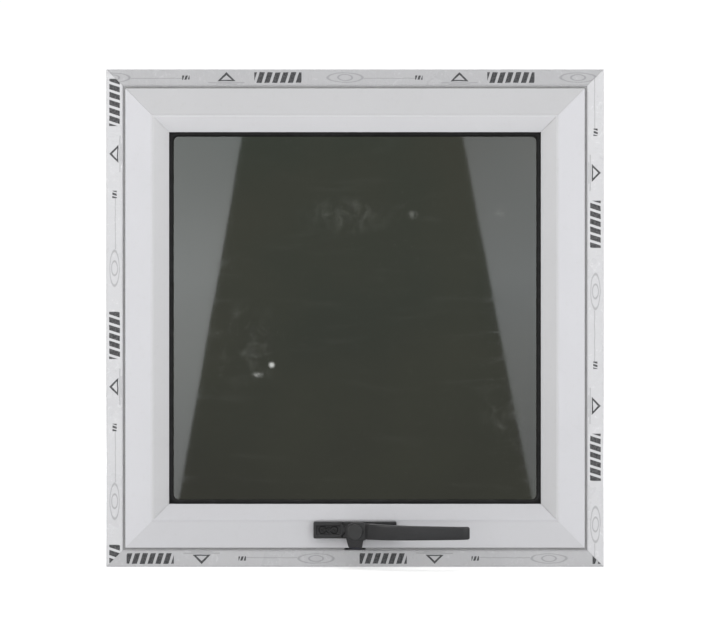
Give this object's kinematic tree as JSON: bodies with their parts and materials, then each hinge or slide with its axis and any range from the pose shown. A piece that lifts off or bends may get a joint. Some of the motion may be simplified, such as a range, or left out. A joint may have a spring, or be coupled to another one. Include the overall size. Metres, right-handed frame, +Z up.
{
  "type": "awning window with cam handle",
  "caption": "Top-hung aluminium awning window: a mitred frame, a glazed sash on a pair of friction stays and a black cam handle on the bottom rail",
  "frame": {"origin": "centre of the frame's bottom face, half-way through the frame's depth", "axes": "+Z up, +Y outdoors (the way the sash swings), X along the sill, with the handle's lever pointing to +X when closed"},
  "size_m": [0.6, 0.1172, 0.6],
  "materials": {
    "white_powder_coat": "satin white polyester powder coat on aluminium profile",
    "mill_aluminium": "bare extruded aluminium",
    "printed_film": null,
    "black_rubber": "matt black EPDM",
    "grey_rubber": "matt light grey EPDM",
    "tinted_glass": "dark tinted float glass, smooth and reflective",
    "stay_steel": "brushed stainless steel strip",
    "zinc_steel": "zinc-plated steel",
    "spring_steel": "blackened spring steel",
    "black_screw": "black zinc-plated steel",
    "black_cast": "satin black powder coat on die-cast alloy",
    "black_nylon": "blue-black moulded nylon",
    "grey_nylon": "dark grey moulded nylon",
    "white_nylon": "natural nylon"
  },
  "bodies": {
    "frame": {"frame_head": "white_powder_coat", "frame_sill": "white_powder_coat", "frame_jamb_left": "white_powder_coat", "frame_jamb_right": "white_powder_coat", "frame_corner_cleats": "mill_aluminium", "frame_seal": "grey_rubber", "film_head": "printed_film", "film_sill": "printed_film", "film_jamb_left": "printed_film", "film_jamb_right": "printed_film", "drain_covers": "white_powder_coat", "stay_track_left": "stay_steel", "stay_track_right": "stay_steel", "stay_track_screws": "zinc_steel", "stay_fixed_pivots": "zinc_steel"},
    "stay_arms": {"stay_arm_left": "stay_steel", "stay_arm_right": "stay_steel"},
    "sash": {"sash_top_rail": "white_powder_coat", "sash_bottom_rail": "white_powder_coat", "sash_stile_left": "white_powder_coat", "sash_stile_right": "white_powder_coat", "sash_corner_cleats": "mill_aluminium", "glazing_bead_top": "white_powder_coat", "glazing_bead_bottom": "white_powder_coat", "glazing_bead_left": "white_powder_coat", "glazing_bead_right": "white_powder_coat", "bead_gasket": "black_rubber", "outer_gasket": "black_rubber", "glass_pane": "tinted_glass", "setting_blocks": "grey_nylon", "weather_seal": "black_rubber", "sash_arm_left": "stay_steel", "sash_arm_right": "stay_steel", "sash_arm_screws": "zinc_steel", "stay_elbow_rivets": "zinc_steel", "stay_washers": "white_nylon", "handle_base_plate": "black_cast", "handle_screws": "black_screw", "handle_pivot_pin": "zinc_steel", "handle_friction_washer": "white_nylon", "handle_disc_spring": "spring_steel", "handle_circlip": "spring_steel"},
    "stay_shoes": {"stay_shoe_left": "grey_nylon", "stay_shoe_right": "grey_nylon"},
    "handle": {"handle_lever": "black_cast", "handle_tongue": "black_cast", "handle_tongue_pad": "black_nylon", "handle_cap": "black_cast"}
  },
  "joints": [
    {"name": "sash_open", "type": "hinge", "parent": "frame", "child": "stay_arms", "pos_m": [0, 0.009, 0.345], "axis": [-1, 0, 0], "range_deg": [0, 45]},
    {"name": "sash_tilt", "type": "hinge", "parent": "stay_arms", "child": "sash", "pos_m": [0, 0.009, 0.455], "axis": [1, 0, 0], "range_deg": [0, 90]},
    {"name": "shoe_level", "type": "hinge", "parent": "sash", "child": "stay_shoes", "pos_m": [0, 0.009, 0.565], "axis": [-1, 0, 0], "range_deg": [0, 45]},
    {"name": "handle_turn", "type": "hinge", "parent": "sash", "child": "handle", "pos_m": [0, -0.028, 0.0448], "axis": [0, -1, 0], "range_deg": [0, 90]}
  ],
  "couplings": [
    {"joint": "sash_tilt", "follows": "sash_open", "ratio": 2},
    {"joint": "shoe_level", "follows": "sash_open", "ratio": 1}
  ]
}
